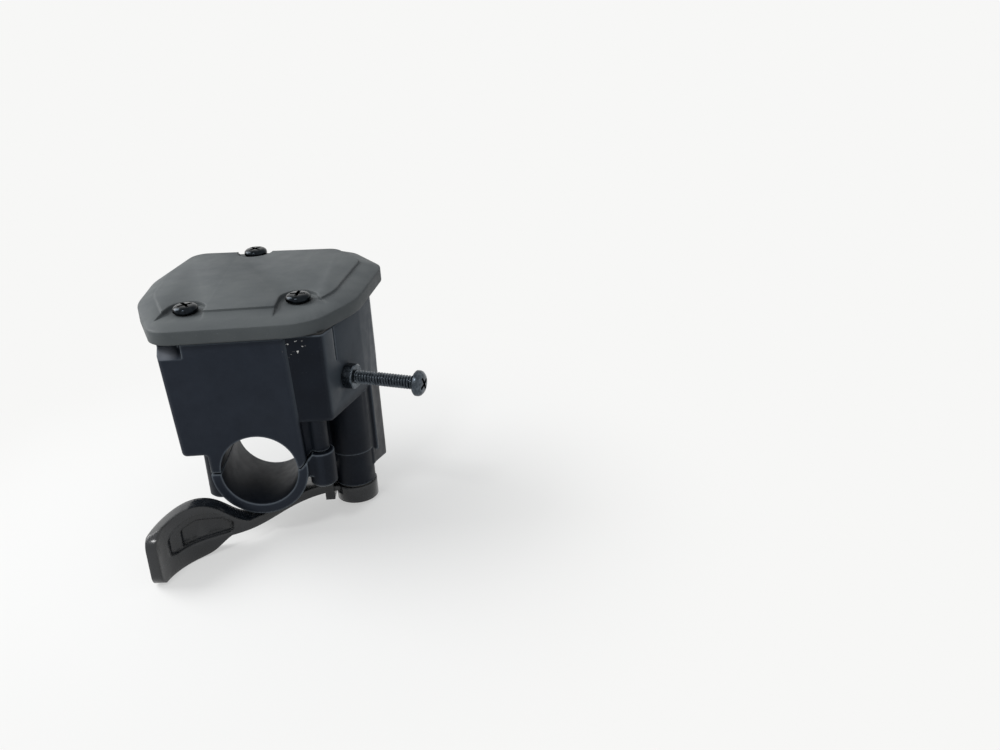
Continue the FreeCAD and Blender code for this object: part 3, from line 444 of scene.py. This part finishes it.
def cover_screws():
    """The cover's pan head screws, flat on top, each with its cross recess turned another way."""
    head_height = 2.1
    screw_room = 9 * MM
    first_turn, step = 35, 50
    groups = []
    for vertex in frame["nodes"]["cover_screws"].data.vertices:
        place = vertex.co.copy()
        same_screw = [g for g in groups if (g[0].xy - place.xy).length < screw_room]
        if same_screw:
            same_screw[0].append(place)
        else:
            groups.append([place])
    whole = bmesh.new()
    for index, group in enumerate(groups):
        low, high = [Vector([pick(p[k] for p in group) for k in range(3)]) / MM for pick in (min, max)]
        middle = (low + high) / 2
        top = high.z
        seat = top - head_height
        outline = [(0, low.z), (2.0, low.z), (2.0, seat), (3.3, seat), (3.6, seat + 0.3), (3.6, seat + 0.95),
                   (3.42, seat + 1.45), (2.95, seat + 1.85), (2.3, top - 0.03), (0, top)]
        one = crossed("cover_screw", outline, top, black_zinc, arm=4.4, width=1.0, depth=1.3)
        turn = Matrix.Rotation(math.radians(first_turn + step * index), 4, "Z")
        one.data.transform(Matrix.Translation((middle.x * MM, middle.y * MM, 0)) @ turn)
        whole.from_mesh(one.data)
        bpy.data.objects.remove(one)
    piece = finish_mesh("cover_screw_set", whole, black_zinc)
    soften(piece, "body")
    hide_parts("cover_screws")


limiter_screw()
cover_screws()


# Floor, light and camera

backdrop = "#f7f7f6"


def seen_directly(tree):
    """1 for what the camera sees, straight or by reflection or through glass, and 0 for the light."""
    path = add(tree, "ShaderNodeLightPath").outputs
    either = add(tree, "ShaderNodeMath", {"operation": "MAXIMUM"}, {}, _0=path["Is Camera Ray"],
                 _1=path["Is Transmission Ray"]).outputs["Value"]
    return add(tree, "ShaderNodeMath", {"operation": "MAXIMUM"}, {}, _0=either,
               _1=path["Is Glossy Ray"]).outputs["Value"]


def floor():
    """Pale table that keeps the object's shadow, lightened, and fades to the backdrop's white."""
    low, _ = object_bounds()
    half_width, gap = 6.0, 0.0002
    bm = bmesh.new()
    bmesh.ops.create_grid(bm, x_segments=1, y_segments=1, size=half_width,
                          matrix=Matrix.Translation((0, 0, low[2] - gap)))
    made, tree, shader, place = surface("pale_table", Roughness=0.6, IOR=1.45, Specular_IOR_Level=0.2)
    shader.inputs["Base Color"].default_value = linear("#e2e2e1")
    distance = add(tree, "ShaderNodeVectorMath", {"operation": "LENGTH"}, {}, _0=place).outputs["Value"]
    fade = {"From Min": 0.03, "From Max": 0.15, "To Min": 0.5, "To Max": 1.0}
    away = add(tree, "ShaderNodeMapRange", {"interpolation_type": "SMOOTHSTEP"}, fade,
               Value=distance).outputs["Result"]
    amount = add(tree, "ShaderNodeMath", PRODUCT, {}, _0=away, _1=seen_directly(tree))
    white = add(tree, "ShaderNodeEmission", {}, {"Color": linear(backdrop), "Strength": 1.0})
    both = add(tree, "ShaderNodeMixShader", {}, {}, _0=amount.outputs["Value"])
    tree.links.new(shader.outputs["BSDF"], both.inputs[1])
    tree.links.new(white.outputs["Emission"], both.inputs[2])
    tree.links.new(both.outputs["Shader"], tree.nodes["Material Output"].inputs["Surface"])
    piece = finish_mesh("table_top", bm, made)


def world_light(strength):
    """Even light from all round, with the backdrop's white where it is seen."""
    world = bpy.data.worlds.new("studio")
    bpy.context.scene.world = world
    world.use_nodes = True
    tree = world.node_tree
    ambient = tree.nodes["Background"]
    ambient.inputs["Color"].default_value = linear("#e9edf2")
    ambient.inputs["Strength"].default_value = strength
    seen = add(tree, "ShaderNodeBackground", {}, {"Color": linear(backdrop), "Strength": 1.0})
    both = add(tree, "ShaderNodeMixShader", {}, {}, _0=seen_directly(tree))
    tree.links.new(ambient.outputs["Background"], both.inputs[1])
    tree.links.new(seen.outputs["Background"], both.inputs[2])
    tree.links.new(both.outputs["Shader"], tree.nodes["World Output"].inputs["Surface"])


def softbox(name, place, target, size, power):
    """Soft lamp of a size in metres, aimed at a target."""
    lamp = bpy.data.lights.new(name, "AREA")
    lamp.shape = "RECTANGLE"
    lamp.size, lamp.size_y = size
    lamp.energy = power
    made = bpy.data.objects.new(name, lamp)
    made.location = place
    made.rotation_euler = (Vector(target) - Vector(place)).to_track_quat("-Z", "Y").to_euler()
    bpy.context.scene.collection.objects.link(made)


def camera():
    """Camera fitted to the clamp's bore, the cover's screws and the upright edges."""
    roll, pitch, yaw = 0.0611, 0.4182, 0.0050
    eye_mm = (69.5896, -293.992, 150.4187)
    data = bpy.data.cameras.new("view")
    data.sensor_width = 36.0
    data.lens = 39.6
    data.clip_end = 50.0
    made = bpy.data.objects.new("view", data)
    turn = Matrix.Rotation(-yaw, 4, "Z") @ Matrix.Rotation(math.pi / 2 - pitch, 4, "X")
    turn = turn @ Matrix.Rotation(-roll, 4, "Z")
    made.matrix_world = Matrix.Translation([c * MM for c in eye_mm]) @ turn
    bpy.context.scene.collection.objects.link(made)
    bpy.context.scene.camera = made


bpy.context.scene.view_settings.view_transform = "Standard"
floor()
world_light(0.5)
softbox("window", (-0.56, 0.2, 0.46), target=(0, 0, 0.02), size=(0.5, 0.5), power=6.6)
softbox("ceiling", (-0.16, -0.36, 0.6), target=(0, 0, 0.02), size=(0.12, 0.12), power=1.3)
camera()
